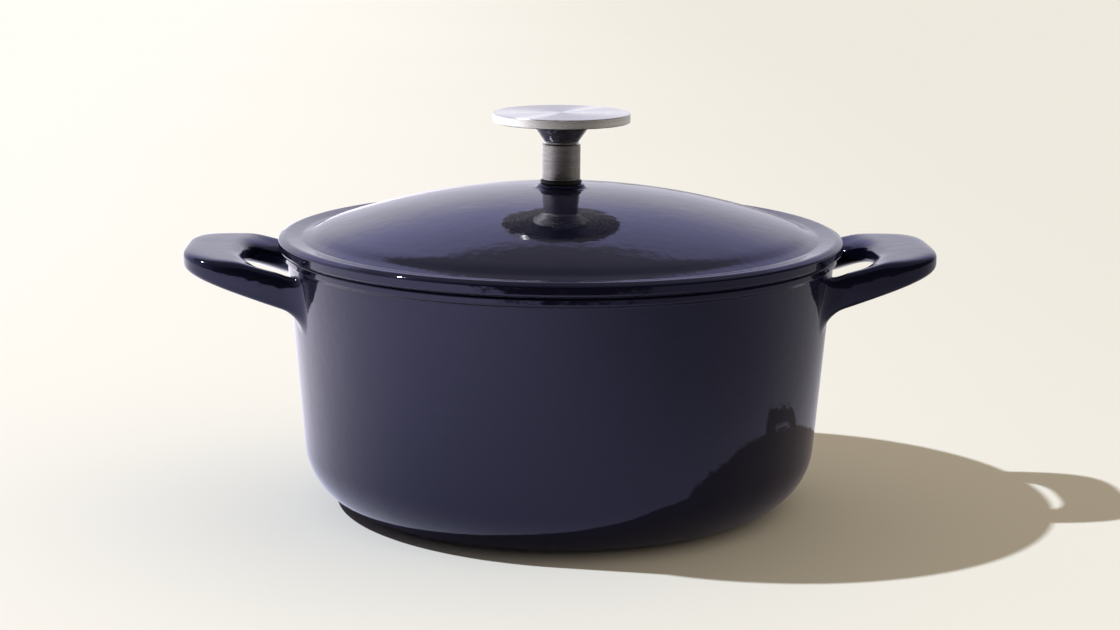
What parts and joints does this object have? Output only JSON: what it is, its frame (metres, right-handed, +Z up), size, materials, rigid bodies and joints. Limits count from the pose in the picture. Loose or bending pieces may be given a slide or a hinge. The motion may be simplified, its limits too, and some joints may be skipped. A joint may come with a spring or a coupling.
{
  "type": "cast iron dutch oven",
  "caption": "Round enamelled cast iron cooking pot with loop handles and a domed lift-off lid carrying a screwed-on stainless disc knob.",
  "frame": {"origin": "centre of the pot's base, on the surface it stands on", "axes": "+Z up along the pot's axis of revolution; +X through the middle of one loop handle, -X through the other"},
  "size_m": [0.3572, 0.269, 0.1864],
  "materials": {
    "enamel": "gloss navy vitreous enamel",
    "stainless": "brushed",
    "silicone": "matte black"
  },
  "bodies": {
    "pot": {"pot": "enamel"},
    "lid": {"lid": "enamel", "knob_gasket": "silicone", "knob_collar": "stainless", "knob_head": "stainless", "seal_washer": "silicone"},
    "screw_washers": {"flat_washer": "stainless", "spring_washer": "stainless"},
    "knob_screw": {"knob_screw": "stainless"}
  },
  "joints": [
    {"name": "lid_lift", "type": "slide", "parent": "pot", "child": "lid", "axis": [0, 0, 1], "range_m": [0, 0.32]},
    {"name": "washer_drop", "type": "slide", "parent": "lid", "child": "screw_washers", "axis": [0, 0, -1], "range_m": [0, 0.008]},
    {"name": "screw_turn", "type": "hinge", "parent": "screw_washers", "child": "knob_screw", "pos_m": [0, 0, 0.1385], "axis": [0, 0, -1], "range_deg": [0, 2880]}
  ],
  "couplings": [
    {"joint": "screw_turn", "follows": "washer_drop", "rad_per_m": 6283.2}
  ]
}
